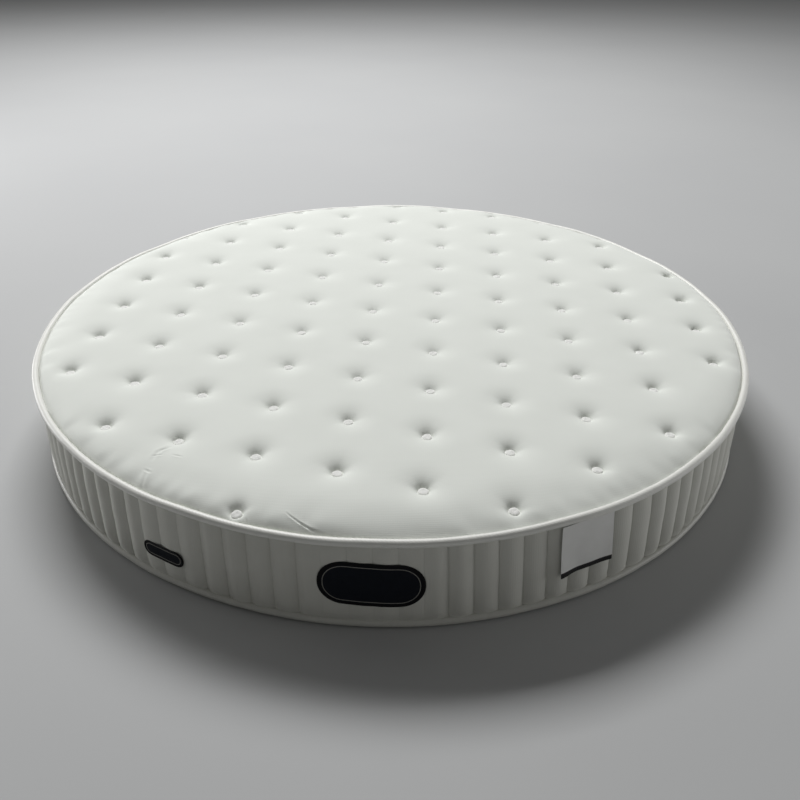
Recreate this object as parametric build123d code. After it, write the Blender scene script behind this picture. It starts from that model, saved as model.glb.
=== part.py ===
from build123d import *
import os
from math import atan2, cos, floor, hypot, pi, radians, sin, sqrt

os.makedirs("parts", exist_ok=True)

# Round pocket-sprung mattress, tufted on top and piped round both edges. Millimetres, +Z up,
# origin at the middle of the flat underside. The front, where the labels are, looks along -Y.

# Overall
mattress_diameter = 2000.0      # over the two pipings
piping_rise = 218.0             # from the bottom piping's centre up to the top piping's centre
piping_lift = 11.0              # the bottom piping's centre above the floor

# Every round piece is drawn with this many flat sides, corners on the true circle
ring_facets = 84

# Pipings: welted cord, drawn six-sided with a flat above and below
piping_diameter = 18.0          # across the corners
seam_clearance = 0.3            # between pieces that are sewn to each other

# Border: side band sewn into upright channels, drawn in under both pipings
channel_count = 116
channel_relief = 5.0            # ridge over seam
channel_phase = -88.75          # degrees from +X to one seam
border_inset = 4.0              # seams inside the ring of the piping's centre, at mid height
border_tuck = 6.0               # how far the band is drawn in under a piping
tuck_height = 54.0              # over which it is drawn in, so that it bulges at mid height
border_wall = 6.0               # thinnest, behind a seam

# Top panel: knit cover over quilted filling
rim_rise = 2.0                  # of the panel's rim over the piping's centre
shoulder_width = 70.0           # the band that is drawn down to the rim
shoulder_drop = 18.0
crown_rise = 11.0               # of the middle over the shoulder
crown_level_shares = (0.28, 0.66, 1.0)      # of the shoulder's radius, from the middle out

# Tufts: a skewed lattice, counted from one tuft near the front
tuft_row_pitch = 191.9
tuft_row_angle = -17.4          # degrees from +X
tuft_column_pitch = 193.7
tuft_column_angle = 86.0
tuft_start_x = 72.3
tuft_start_y = -842.3
tuft_field_margin = 25.0        # lattice points nearer the outside than this get no tuft
tuft_rim_margin = 38.0          # and no tuft sits nearer the outside than this
tuft_depth = 15.0               # of the felt's top under the fabric round it
felt_rim_rise = 1.5             # lowest that a felt's top lies over the piping's centre
felt_diameter = 24.0
felt_thickness = 3.0
felt_seat_clearance = 1.0       # round the felt, in its dimple
tuft_sides = 6                  # of a felt and its dimple
dimple_knee_diameter = 42.0
dimple_knee_rise = 7.0          # over the dimple's floor
dimple_mouth_diameter = 150.0
dimple_mouth_rise = 22.0        # over the dimple's floor, clear of the crown
cord_diameter = 3.0
cord_sides = 3
anchor_side = 18.0
anchor_thickness = 2.0

# Layers inside
layer_clearance = 0.3
comfort_thickness = 25.0
insulator_thickness = 4.0
pocket_pitch = 86.0             # pocketed coils along a string
string_gap = 0.6                # between neighbouring strings
ring_width = 114.0              # of the foam wall round the coils

# Bottom panel
base_margin = 30.0              # from the rim in to the flat base
base_rim_rise = 6.0             # of the rim's lower edge over the floor

# Labels. A label's turn is its middle's angle from +X
label_thickness = 1.2
label_clearance = 0.3           # off the ridges that it lies on
main_label_width = 221.0
main_label_height = 112.0
main_label_corner_share = 0.48              # corner's radius, of the label's height
label_corner_facets = 4
main_label_turn = -91.9
main_label_lean = -2.5          # degrees, its right end down
main_label_drop = 110.0         # its middle under the top piping's centre
small_label_width = 111.0
small_label_height = 41.0
small_label_corner_share = 0.48
small_label_turn = -119.2
small_label_lean = -0.7
small_label_drop = 143.5
flap_width = 136.0
flap_height = 134.0
flap_thickness = 1.0
flap_turn = -65.2
flap_clearance = 0.4            # off the ridges behind it
flap_hang_gap = 0.8             # from the piping down to the flap's sewn edge

cut_overrun = 5.0

# Worked out from the sizes above
outer_radius = mattress_diameter / 2
piping_radius = piping_diameter / 2
piping_ring_radius = outer_radius - piping_radius
piping_half_height = piping_radius * sin(pi / 3)
piping_half_flat = piping_radius * cos(pi / 3)
bottom_piping_z = piping_lift
top_piping_z = piping_lift + piping_rise
border_bottom = bottom_piping_z + piping_half_height + seam_clearance
border_top = top_piping_z - piping_half_height - seam_clearance
seam_radius = piping_ring_radius - border_inset
ridge_radius = seam_radius + channel_relief
border_inner_radius = seam_radius - border_tuck - border_wall
rim_radius = piping_ring_radius - piping_radius - seam_clearance
rim_z = top_piping_z + rim_rise
shoulder_radius = rim_radius - shoulder_width
shoulder_z = rim_z + shoulder_drop
crown_z = shoulder_z + crown_rise
top_panel_z = border_top + seam_clearance
bottom_panel_top = border_bottom - seam_clearance
layer_radius = border_inner_radius - layer_clearance
anchor_z = top_panel_z - layer_clearance - anchor_thickness
comfort_z = anchor_z - layer_clearance - comfort_thickness
top_insulator_z = comfort_z - layer_clearance - insulator_thickness
bottom_insulator_z = bottom_panel_top + layer_clearance
spring_z = bottom_insulator_z + insulator_thickness + layer_clearance
spring_height = top_insulator_z - layer_clearance - spring_z
spring_field_radius = layer_radius - ring_width
string_pitch = pocket_pitch * sin(pi / 3)
pocket_half_width = (pocket_pitch - string_gap) / 2
neck_half_width = string_pitch - string_gap - pocket_half_width


def crown_height(radius):
    """Height of the undimpled top surface at a distance from the middle."""
    crown_curve = (shoulder_radius ** 2 + crown_rise ** 2) / (2 * crown_rise)
    if radius <= shoulder_radius:
        return crown_z - crown_curve + sqrt(crown_curve ** 2 - radius ** 2)
    inward = (-shoulder_radius / crown_curve, (crown_rise - crown_curve) / crown_curve)
    step = (rim_radius - shoulder_radius, rim_z - shoulder_z)
    reach = (step[0] ** 2 + step[1] ** 2) / (2 * (step[0] * inward[0] + step[1] * inward[1]))
    centre = (shoulder_radius + reach * inward[0], shoulder_z + reach * inward[1])
    return centre[1] + sqrt(reach ** 2 - (radius - centre[0]) ** 2)


def tuft_places():
    """Middle of each felt's top, on the lattice and pulled in from the rim."""
    places = []
    reach = int(mattress_diameter / min(tuft_row_pitch, tuft_column_pitch)) + 1
    row = (cos(radians(tuft_row_angle)) * tuft_row_pitch, sin(radians(tuft_row_angle)) * tuft_row_pitch)
    column = (
        cos(radians(tuft_column_angle)) * tuft_column_pitch,
        sin(radians(tuft_column_angle)) * tuft_column_pitch,
    )
    for i in range(-reach, reach + 1):
        for j in range(-reach, 2 * reach + 1):
            x = tuft_start_x + i * row[0] + j * column[0]
            y = tuft_start_y + i * row[1] + j * column[1]
            radius = hypot(x, y)
            if radius > outer_radius - tuft_field_margin:
                continue
            turn = atan2(y, x)
            seated = min(radius, outer_radius - tuft_rim_margin)
            z = max(crown_height(seated) - tuft_depth, top_piping_z + felt_rim_rise)
            places.append((seated * cos(turn), seated * sin(turn), z))
    return places


def level(radius, z, sides=ring_facets):
    """Corners of a regular outline on the axis."""
    return [(radius * cos(2 * pi * k / sides), radius * sin(2 * pi * k / sides), z) for k in range(sides)]


def faceted(levels):
    """Solid through a pile of like outlines, with flat faces from each to the next."""
    faces = [Face(Wire.make_polygon(levels[0])), Face(Wire.make_polygon(levels[-1]))]
    for lower, upper in zip(levels, levels[1:]):
        for k in range(len(lower)):
            after = (k + 1) % len(lower)
            faces.append(Face(Wire.make_polygon([lower[k], lower[after], upper[after], upper[k]])))
    return Solid(Shell(faces))


def disc(radius, z, height, sides=ring_facets):
    return faceted([level(radius, z, sides), level(radius, z + height, sides)])


def ring(inner, outer, z, height):
    return disc(outer, z, height) - disc(inner, z - cut_overrun, height + 2 * cut_overrun)


def radial_plane(turn, radius, z):
    """Plane that faces outwards at a turn round the border, with its X to the right of one looking at it."""
    outward = (cos(radians(turn)), sin(radians(turn)), 0)
    rightward = (-sin(radians(turn)), cos(radians(turn)), 0)
    return Plane(origin=(outward[0] * radius, outward[1] * radius, z), x_dir=rightward, z_dir=outward)


def piping(z):
    """Faceted cord bent to a ring, as the body between two piles of outlines."""
    steps = [(-piping_half_height, piping_half_flat), (0, piping_radius), (piping_half_height, piping_half_flat)]
    outer = [level(piping_ring_radius + half, z + rise) for rise, half in steps]
    inner = [level(piping_ring_radius - half, z + rise) for rise, half in steps]
    return faceted(outer) - faceted(inner)


def border():
    """Band of upright channels, each with a seam each side and a ridge between them."""
    levels = []
    for z, radius in (
        (border_bottom, seam_radius - border_tuck),
        (border_bottom + tuck_height, seam_radius),
        (border_top - tuck_height, seam_radius),
        (border_top, seam_radius - border_tuck),
    ):
        corners = []
        for k in range(2 * channel_count):
            turn = radians(channel_phase) + pi * k / channel_count
            reach = radius * (ridge_radius / seam_radius if k % 2 else 1)
            corners.append((reach * cos(turn), reach * sin(turn), z))
        levels.append(corners)
    band_height = border_top - border_bottom
    return faceted(levels) - disc(border_inner_radius, border_bottom - cut_overrun, band_height + 2 * cut_overrun)


def top_panel(places):
    """Crowned disc, drawn down at its rim, with a dimple for each tuft: steep at the felt, shallow round it."""
    shoulder_half = (shoulder_radius + rim_radius) / 2
    radii = [rim_radius, shoulder_half] + [share * shoulder_radius for share in reversed(crown_level_shares)]
    levels = [level(rim_radius, top_panel_z)] + [level(radius, crown_height(radius)) for radius in radii]
    dimple = faceted([
        level(felt_diameter / 2 + felt_seat_clearance, 0, tuft_sides),
        level(dimple_knee_diameter / 2, dimple_knee_rise, tuft_sides),
        level(dimple_mouth_diameter / 2, dimple_mouth_rise, tuft_sides),
    ])
    return faceted(levels) - [Pos(x, y, z - felt_thickness) * dimple for x, y, z in places]


def tuft_felts(places):
    felt = disc(felt_diameter / 2, -felt_thickness, felt_thickness, tuft_sides)
    return Compound(children=[Pos(x, y, z) * felt for x, y, z in places])


def tuft_cords(places):
    """Cords from the felts down through the filling to their anchors."""
    foot = anchor_z + anchor_thickness
    cords = []
    for x, y, z in places:
        cords.append(Pos(x, y, 0) * disc(cord_diameter / 2, foot, z - felt_thickness - foot, cord_sides))
    return Compound(children=cords)


def tuft_anchors(places):
    plate = Pos(0, 0, anchor_z) * Box(
        anchor_side, anchor_side, anchor_thickness, align=(Align.CENTER, Align.CENTER, Align.MIN)
    )
    return Compound(children=[Pos(x, y, 0) * plate for x, y, z in places])


def bottom_panel():
    """Flat base, turned up to its rim."""
    return faceted([
        level(rim_radius - base_margin, 0),
        level(rim_radius, base_rim_rise),
        level(rim_radius, bottom_panel_top),
    ])


def spring_strings():
    """Strings of pocketed coils in a honeycomb, each as long as the foam wall lets it be."""
    strings = []
    rows = floor((spring_field_radius - pocket_half_width) / string_pitch)
    for row in range(-rows, rows + 1):
        y = row * string_pitch
        half_chord = sqrt(spring_field_radius ** 2 - (abs(y) + pocket_half_width) ** 2)
        shift = row % 2
        pockets = 2 * floor(half_chord / pocket_pitch - shift / 2) + shift
        if pockets < 1:
            continue
        start = -pockets * pocket_pitch / 2
        near = []
        far = []
        for k in range(2 * pockets + 1):
            half = pocket_half_width if k % 2 else neck_half_width
            near.append((start + k * pocket_pitch / 2, y - half, spring_z))
            far.append((start + k * pocket_pitch / 2, y + half, spring_z))
        outline = make_face(Polyline(*near, *reversed(far), close=True))
        strings.append(extrude(outline, spring_height))
    return strings


def label(turn, lean, drop, width, height, corner_share):
    """Woven patch with rounded ends, bent round the ridges of the border."""
    corner = corner_share * height
    inner = (ridge_radius + label_clearance) / cos(pi / ring_facets)
    z = top_piping_z - drop
    shell = ring(inner, inner + label_thickness, z - height, 2 * height)
    points = []
    for quarter, (side, end) in enumerate(((1, 1), (-1, 1), (-1, -1), (1, -1))):
        for k in range(label_corner_facets + 1):
            sweep = (quarter + k / label_corner_facets) * pi / 2
            x = side * (width / 2 - corner) + corner * cos(sweep)
            y = end * (height / 2 - corner) + corner * sin(sweep)
            points.append((x, y))
    stamp = radial_plane(turn, inner, z) * Rot(0, 0, lean) * make_face(Polyline(*points, close=True))
    return shell & extrude(stamp, cut_overrun + label_thickness, both=True)


def care_label():
    """Flat flap that hangs from its sewn edge under the top piping."""
    top = top_piping_z - piping_half_height - flap_hang_gap
    back = radial_plane(flap_turn, ridge_radius + flap_clearance, top - flap_height / 2)
    return extrude(back * Rectangle(flap_width, flap_height), flap_thickness)


def build():
    places = tuft_places()
    nodes = {
        "top_panel": top_panel(places),
        "tuft_felts": tuft_felts(places),
        "tuft_cords": tuft_cords(places),
        "tuft_anchors": tuft_anchors(places),
        "top_piping": piping(top_piping_z),
        "border": border(),
        "bottom_piping": piping(bottom_piping_z),
        "bottom_panel": bottom_panel(),
        "top_comfort_foam": disc(layer_radius, comfort_z, comfort_thickness),
        "top_insulator": disc(layer_radius, top_insulator_z, insulator_thickness),
        "bottom_insulator": disc(layer_radius, bottom_insulator_z, insulator_thickness),
        "edge_foam_ring": ring(spring_field_radius + layer_clearance, layer_radius, spring_z, spring_height),
        "main_label": label(
            main_label_turn, main_label_lean, main_label_drop,
            main_label_width, main_label_height, main_label_corner_share,
        ),
        "small_label": label(
            small_label_turn, small_label_lean, small_label_drop,
            small_label_width, small_label_height, small_label_corner_share,
        ),
        "care_label": care_label(),
    }
    for number, string in enumerate(spring_strings(), 1):
        nodes[f"spring_string_{number:02d}"] = string
    return nodes


for name, shape in build().items():
    export_step(shape, f"parts/{name}.step")
print(len(tuft_places()), "tufts, crown", round(crown_z, 1), "mm over the floor")
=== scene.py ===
from math import atan2, ceil, cos, degrees, exp, floor, hypot, inf, pi, radians, sin, sqrt

import bmesh
import bpy
import numpy as np
from mathutils import Matrix, Vector, noise
from mathutils.bvhtree import BVHTree
from mathutils.geometry import delaunay_2d_cdt
from mathutils.kdtree import KDTree


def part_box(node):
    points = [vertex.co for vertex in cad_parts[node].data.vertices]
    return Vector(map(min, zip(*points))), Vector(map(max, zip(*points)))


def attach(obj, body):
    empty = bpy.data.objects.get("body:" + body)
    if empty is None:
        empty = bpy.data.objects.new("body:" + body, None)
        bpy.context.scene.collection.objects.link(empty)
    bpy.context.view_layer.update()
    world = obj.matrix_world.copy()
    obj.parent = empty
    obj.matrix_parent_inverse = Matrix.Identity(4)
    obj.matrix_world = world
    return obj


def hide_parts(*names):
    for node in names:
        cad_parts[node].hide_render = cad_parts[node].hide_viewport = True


# Round piped mattress with a tufted top, dressed. Metres, +Z up, the front looks along -Y.
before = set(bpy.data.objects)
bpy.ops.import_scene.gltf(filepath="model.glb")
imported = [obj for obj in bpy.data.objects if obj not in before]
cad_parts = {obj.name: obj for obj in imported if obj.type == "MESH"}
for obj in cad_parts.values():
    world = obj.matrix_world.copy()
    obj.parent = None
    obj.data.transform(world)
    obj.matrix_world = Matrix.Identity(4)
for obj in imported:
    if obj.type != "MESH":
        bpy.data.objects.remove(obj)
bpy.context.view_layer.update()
scene = bpy.context.scene

# Sizes taken from the frame
piping_low, piping_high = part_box("top_piping")
outer_radius = piping_high.x
piping_radius = (piping_high.z - piping_low.z) / 2 / sin(radians(60))   # the node's section is a hexagon
piping_ring_radius = outer_radius - piping_radius
top_piping_z = (piping_low.z + piping_high.z) / 2
bottom_piping_z = sum(corner.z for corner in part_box("bottom_piping")) / 2
panel_low, panel_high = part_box("top_panel")
rim_radius = panel_high.x
border_low, border_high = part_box("border")
base_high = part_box("bottom_panel")[1]

# Crown of the top: a steep roll over the piping, a slow rise behind it, and a slight bow all across
rim_rise = 0.002                # of the cover's sewn edge over the middle of the piping
rim_z = top_piping_z + rim_rise
roll_rise, roll_run = 0.0145, 0.0135
slow_rise, slow_run = 0.0095, 0.055
bow_rise = 0.005
# The roll is stuffed by hand, fuller in places: turns in degrees, and how full it is there
roll_turns = (-180, -145, -118, -100, -91, -82, -60, -45, -30, -10, 10, 45, 135, 180)
roll_shares = (1.45, 1.4, 1.65, 1.75, 1.4, 1.05, 0.9, 1.2, 1.7, 2.15, 2.1, 1.4, 1.4, 1.45)
roll_fade = 0.060               # distance from the rim over which that unevenness dies away
# The sewn top edge wanders up and down on its way round: height, number and phase of each wave
edge_waves = ((0.0010, 16, 2.1), (0.0008, 9, 0.4), (0.0004, 31, 1.0))
edge_wave_fade = 0.060          # from the rim inwards
# The filling is uneven from place to place, and its stitches pucker the cover along the rim
uneven_height = 0.0009
uneven_per_metre = 3.5
uneven_start = 0.080            # from the rim inwards
pucker_height = 0.0004
pucker_start, pucker_fade = 0.008, 0.055

# Tufts and their dimples
felt_diameter = 0.024
felt_thickness = 0.0070
felt_insets = ((0.0032, 0.0008), (0.0024, 0.0004), (0.0024, 0.0), (0.0020, -0.0004))   # each with its rise
felt_bevel = 0.0028
felt_unevenness = 0.0009
felt_lean = 5                   # degrees either way
felt_tilt_share = 0.8           # of the crown's slope
felt_reach = 0.030              # any two corners of one felt are nearer than this
felt_rise = 0.0008              # of a felt's middle over the top face of the frame's felt
felt_cover = 0.0038             # where the cover's seat is lifted more than this, it lifts its felt with it
seat_radius = 0.0114            # fabric is flat under the felt out to here
# The cover's height over the frame's felts: least at the very front, higher in two steps further back,
# each with its height, the y where it starts and its way
seat_lift_least = 0.0006
seat_lift_steps = ((0.0038, -0.95, 0.6), (0.0030, 0.1, 0.7))
# Distances over which the steep and the shallow part of a dimple fall to a third
steep_fall = 0.0085
shallow_fall = 0.016
steep_share = 0.68
dimple_ring_radii = (
    0.006, 0.0114, 0.0130, 0.0147, 0.0167, 0.0192, 0.0224, 0.0264, 0.0314, 0.0376, 0.0455,
)
dimple_ring_sides = 28
pleat_share = 0.08              # of a dimple's fall, drawn nearer or further by its pleats
swell_room = 0.0045             # the cover is cut this much under the crown, and the filling lifts it
swell_start = 0.050             # from the rim inwards
swell_cap_share = 1.3           # of that room, past which no point is lifted
stuffing_pressure = 4.0
stuffing_steps = 20
tuft_hold = 0.045               # how far round a tuft the quick form stays down

# Mesh of the top cover
cover_pitch = 0.0115
coarse_pitch = 0.024            # of the sheet that the filling lifts
coarse_rim_sides = 256
rim_ring_sides = 560
rim_ring_insets = (0, 0.0025, 0.006, 0.011, 0.018, 0.027)
least_gap = 0.0016              # no two points of the cover are nearer than this
hair = 1e-5                     # places that differ by less are the same
crease_pitch = 0.0018

# Creases near the front rim: points on the way, width and depth
creases = (
    (((-0.2016, -0.9259), (-0.1939, -0.9337), (-0.1768, -0.9456), (-0.1497, -0.9619),
      (-0.1355, -0.9676), (-0.1176, -0.9727)), 0.0015, 0.0016),
    (((-0.1789, -0.9463), (-0.1676, -0.9521), (-0.1496, -0.9643), (-0.1273, -0.9740)), 0.0015, 0.0011),
    (((-0.2844, -0.9293), (-0.2799, -0.9395), (-0.2798, -0.9497)), 0.0016, 0.0014),
    (((-0.4840, -0.7077), (-0.4963, -0.7170), (-0.5069, -0.7306), (-0.5124, -0.7564)), 0.0040, 0.0010),
    (((-0.5131, -0.7824), (-0.5160, -0.8082), (-0.5182, -0.8307), (-0.5169, -0.8474)), 0.0034, 0.0005),
    (((-0.5174, -0.7440), (-0.4936, -0.7401)), 0.0022, 0.0009),
    (((-0.4729, -0.7406), (-0.4492, -0.7492)), 0.0022, 0.0008),
    (((-0.5041, -0.7246), (-0.4891, -0.7139)), 0.0024, 0.0009),
    (((-0.5219, -0.7859), (-0.5053, -0.7970)), 0.0024, 0.0010),
)

# Border
channel_count = 116
channel_phase = -88.75          # degrees, of the first seam
channel_relief = 0.005
groove_depth = 0.0045           # of the sewn seams under the frame's flat-sided channels
channel_columns = 14
border_rows = 44
seam_radius = border_high.x - channel_relief
border_draw = 0.0055            # of the top end, inwards from the middle
border_foot = 0.0025            # of the bottom end, outwards
border_belly = 0.0026           # more low down, where the filling sinks
belly_full_share = 0.12         # of the border's height, where the belly is reached
belly_fade_share, belly_way_share = 0.25, 0.6   # where it starts to go, and over how much
border_end = 0.016              # at either end the channels close up over this height
end_ridge_share, end_groove_share = 0.4, 0.5    # by how much
ridge_change_share = 0.12       # from channel to channel
groove_power = 0.75             # the lower, the narrower the grooves
border_drag = 0.0008            # of the cloth, from place to place
border_pucker = 0.0014          # of its ends
border_thickness = 0.012        # behind the seams
border_inner_radius = seam_radius - border_thickness
# Seams off their even places, and how far their feet lean to the right of their heads, in channels
seam_numbers = (-58, -24, -15, -13, -10, -4, -2, 0, 2, 6, 9, 10, 11, 13, 15, 24, 58)
seam_shifts = (
    0, 0.02, -0.07, 0.04, 0.09, 0.11, 0.10, 0.01, -0.09, -0.11, -0.06, 0.0, 0.13, 0.1, 0.04, -0.04, 0,
)
seam_leans = (
    0, 0.04, 0.03, 0.03, 0.05, 0.04, 0.04, 0.05, 0.13, 0.2, 0.2, 0.18, 0.18, 0.12, 0.08, -0.05, 0,
)

# Pipings
piping_sides, piping_section_sides = 840, 18
piping_swell_shares = ((0.05, 30), (0.02, 110))     # of the cord's thickness, each with its noise scale
piping_pinch_share = 0.04       # where stitches pull the tape
piping_wander = 0.0006
bottom_wave_share = 0.45        # of the top edge's waves

# Labels: size, place with turn and lean in degrees and drop from the top piping, overlocked edge,
# inset of the woven line, how deep they follow the channels, how flat they pull the seams near them
main_label = {
    "width": 0.221, "height": 0.112, "corner": 0.0538, "turn": -91.9, "lean": -2.5, "drop": 0.110,
    "edging": 0.0085, "line_inset": 0.0105, "follow": 0.25, "press": 0.8,
}
small_label = {
    "width": 0.111, "height": 0.041, "corner": 0.0197, "turn": -119.2, "lean": -0.7, "drop": 0.1435,
    "edging": 0.0050, "line_inset": 0.0068, "follow": 0.1, "press": 0.65,
}
press_inside, press_fade = 0.010, 0.040     # the pull starts to go this far inside a label's ends, over this
label_out = 0.0012              # of the woven field over the border
label_foot_outs = (0.0003, 0.0006)      # of its turned-under edge and of its rim
edging_out, edging_rise = 0.0010, 0.0012        # at its sides, and more along its crown
edging_rings = 8
line_out = 0.0015
line_width = 0.0018
label_ring_pitch = 0.004
label_last_gap = 0.0015         # of the innermost ring to the label's middle line

# Care flap
flap_width = 0.136
flap_height = 0.134
flap_turn = -65.2               # degrees
flap_band = 0.0130
flap_skew = 0.0045              # its seam is sewn this far to the left of its lower edge,
flap_gather = 0.0085            # and takes the flap in by this much
flap_clearance = 0.0012         # over the ridges
flap_left_stands = (0.0012, 0.0028, 0.005)      # of its left edge: always, further down, at the corner
flap_right_stand = 0.0010
flap_belly_share = 1.15         # of the border's belly, which it clears lower down
flap_flatness_share = 0.35      # of the border's curve that it leaves out
flap_ripple = 0.0004
flap_crumple = 0.0005
flap_corner_draw = 0.0010       # of its lower left corner, inwards
flap_thickness = 0.0005
flap_steps = 44                 # of its mesh, either way

# Underside
base_inset = 0.030              # of the flat cloth from the rim
base_sides = 420
base_gather = 0.0007


def crown_height(radius):
    """Height of the smooth crown at a distance from the middle."""
    inset = max(rim_radius - radius, 0)
    roll = roll_rise * (1 - exp(-inset / roll_run)) + slow_rise * (1 - exp(-inset / slow_run))
    return rim_z + roll + bow_rise * (1 - min(radius / rim_radius, 1) ** 2)


def smooth(value):
    """0 to 1 with soft ends."""
    value = min(max(value, 0.0), 1.0)
    return value * value * (3 - 2 * value)


def edge_wave(turn):
    """How far the sewn top edge wanders up and down on its way round."""
    return sum(height * sin(number * turn + phase) for height, number, phase in edge_waves)


def seat_lift(y):
    """How far the cover at a tuft lies over the frame's felt. The middle and the back give way less."""
    lift = seat_lift_least
    for height, start, way in seat_lift_steps:
        lift += height * smooth((y - start) / way)
    return lift


def tuft_places():
    """Middle of each felt's top face, read from the frame."""
    corners = [vertex.co.copy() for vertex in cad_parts["tuft_felts"].data.vertices]
    places = []
    while corners:
        first = corners[0]
        near = [c for c in corners if (c - first).length < felt_reach]
        corners = [c for c in corners if (c - first).length >= felt_reach]
        xs, ys, zs = zip(*near)
        places.append(Vector(((min(xs) + max(xs)) / 2, (min(ys) + max(ys)) / 2, max(zs))))
    return sorted(places, key=lambda place: (round(place.y, 4), place.x))


tufts = tuft_places()
tuft_tree = KDTree(len(tufts))
for index, tuft in enumerate(tufts):
    tuft_tree.insert((tuft.x, tuft.y, 0), index)
tuft_tree.balance()


# Materials. Ribs and threads finer than about 1.5 mm are drawn as coarse as they need to show.

def linear(code):
    """Linear colour of an sRGB hex value."""
    parts = [int(code[i:i + 2], 16) / 255 for i in (0, 2, 4)]
    return tuple(c / 12.92 if c <= 0.04045 else ((c + 0.055) / 1.055) ** 2.4 for c in parts) + (1,)


def add(tree, kind, settings, inputs):
    """Adds a node with its settings, its values and its links, and returns its outputs."""
    made = tree.nodes.new("ShaderNode" + kind)
    for name, value in settings.items():
        setattr(made, name, value)
    for name, value in inputs.items():
        if isinstance(value, bpy.types.NodeSocket):
            tree.links.new(value, made.inputs[name])
        else:
            made.inputs[name].default_value = value
    return made.outputs


def started(name):
    """New material, its tree and its shader."""
    material = bpy.data.materials.new(name)
    material.use_nodes = True
    tree = material.node_tree
    return material, tree, tree.nodes["Principled BSDF"]


def set_shader(shader, **values):
    """Sets the shader's inputs, named with _ for their spaces."""
    for name, value in values.items():
        shader.inputs[name.replace("_", " ")].default_value = value


def pitch_scale(pitch):
    """Scale of a wave texture whose bands are that far apart."""
    return 2 * pi / 20 / pitch


def grain_scale(width):
    """Scale of a noise or cell texture whose grains are about that wide."""
    return 1 / width


def shade_between(tree, share, dark, light):
    """Colour that runs from one hex value to the other."""
    return add(tree, "Mix", {"data_type": "RGBA"}, {0: share, 6: linear(dark), 7: linear(light)})[2]


def times(tree, a, b):
    """Product of two values."""
    return add(tree, "Math", {"operation": "MULTIPLY"}, {0: a, 1: b})[0]


def plus(tree, a, b):
    """Sum of two values."""
    return add(tree, "Math", {"operation": "ADD"}, {0: a, 1: b})[0]


def bumped(tree, shader, height, depth):
    """Raises the surface by a height map, in metres."""
    normal = add(tree, "Bump", {}, {"Strength": 1.0, "Distance": depth, "Height": height})[0]
    tree.links.new(normal, shader.inputs["Normal"])


def knit_cover():
    # Viscose and polyester double knit: matte off-white, fine cross courses, a soft bloom at grazing angles
    material, tree, shader = started("double_knit_cover")
    place = add(tree, "TexCoord", {}, {})["Object"]
    mottle = add(tree, "TexNoise", {}, {"Vector": place, "Scale": grain_scale(0.1111), "Detail": 3.0})[0]
    fine = add(tree, "TexNoise", {}, {"Vector": place, "Scale": grain_scale(0.00238), "Detail": 2.0})[0]
    # Courses are 1.3 mm apart on the real cloth, and are drawn in groups of three so that they show
    course = add(
        tree, "TexWave", {"bands_direction": "Y"},
        {"Vector": place, "Scale": pitch_scale(0.0040),
         "Distortion": 1.2, "Detail": 2.0, "Detail Scale": 1.2},
    )["Fac"]
    wale = add(
        tree, "TexWave", {"bands_direction": "X"},
        {"Vector": place, "Scale": pitch_scale(0.0046),
         "Distortion": 0.8, "Detail": 1.0, "Detail Scale": 2.0},
    )["Fac"]
    patch = add(tree, "TexNoise", {}, {"Vector": place, "Scale": grain_scale(0.2), "Detail": 2.0})[0]
    tone = plus(tree, times(tree, mottle, 0.85), times(tree, course, 0.15))
    tree.links.new(shade_between(tree, tone, "e4e7e1", "edf0ea"), shader.inputs["Base Color"])
    drawn = times(tree, course, patch)
    relief = plus(tree, plus(tree, times(tree, drawn, 0.8), times(tree, wale, 0.1)), times(tree, fine, 0.5))
    bumped(tree, shader, relief, 0.00016)
    set_shader(shader, Roughness=0.88, IOR=1.46, Sheen_Weight=0.18, Sheen_Roughness=0.45)
    return material


def border_knit():
    # Warp-knit border cloth quilted to thin foam: fine upright ribs, dull. Its greyer white is painted shade
    # for the side band, which the lights leave in shade
    material, tree, shader = started("warp_knit_border")
    along = add(tree, "UVMap", {"uv_map": "cloth"}, {})[0]
    mottle = add(tree, "TexNoise", {}, {"Vector": along, "Scale": grain_scale(0.0714), "Detail": 4.0})[0]
    fine = add(tree, "TexNoise", {}, {"Vector": along, "Scale": grain_scale(0.002), "Detail": 2.0})[0]
    rib = add(
        tree, "TexWave", {"bands_direction": "X"},
        {"Vector": along, "Scale": pitch_scale(0.0032),
         "Distortion": 0.5, "Detail": 1.0, "Detail Scale": 3.0},
    )["Fac"]
    # These greyed whites are painted shade for the shaded side band
    tree.links.new(shade_between(tree, mottle, "cecec6", "d9d9d2"), shader.inputs["Base Color"])
    bumped(tree, shader, plus(tree, times(tree, rib, 0.4), times(tree, fine, 0.6)), 0.0003)
    set_shader(shader, Roughness=0.9, IOR=1.46, Sheen_Weight=0.12, Sheen_Roughness=0.5)
    return material


def piping_cloth(name, dark, light):
    # Polyester bias tape round a cord: slanting twill, smoother than the knit, a soft gloss along its top
    material, tree, shader = started(name)
    along = add(tree, "UVMap", {"uv_map": "cloth"}, {})[0]
    twill = add(
        tree, "TexWave", {"bands_direction": "DIAGONAL"},
        {"Vector": along, "Scale": pitch_scale(0.0040),
         "Distortion": 0.3, "Detail": 1.0, "Detail Scale": 2.0},
    )["Fac"]
    pull = add(tree, "TexNoise", {}, {"Vector": along, "Scale": grain_scale(0.0222), "Detail": 3.0})[0]
    tree.links.new(shade_between(tree, pull, dark, light), shader.inputs["Base Color"])
    bumped(tree, shader, plus(tree, times(tree, twill, 0.3), times(tree, pull, 1.2)), 0.0004)
    set_shader(shader, Roughness=0.45, IOR=1.5, Specular_IOR_Level=0.75)
    set_shader(shader, Sheen_Weight=0.1, Sheen_Roughness=0.3)
    return material


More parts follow.
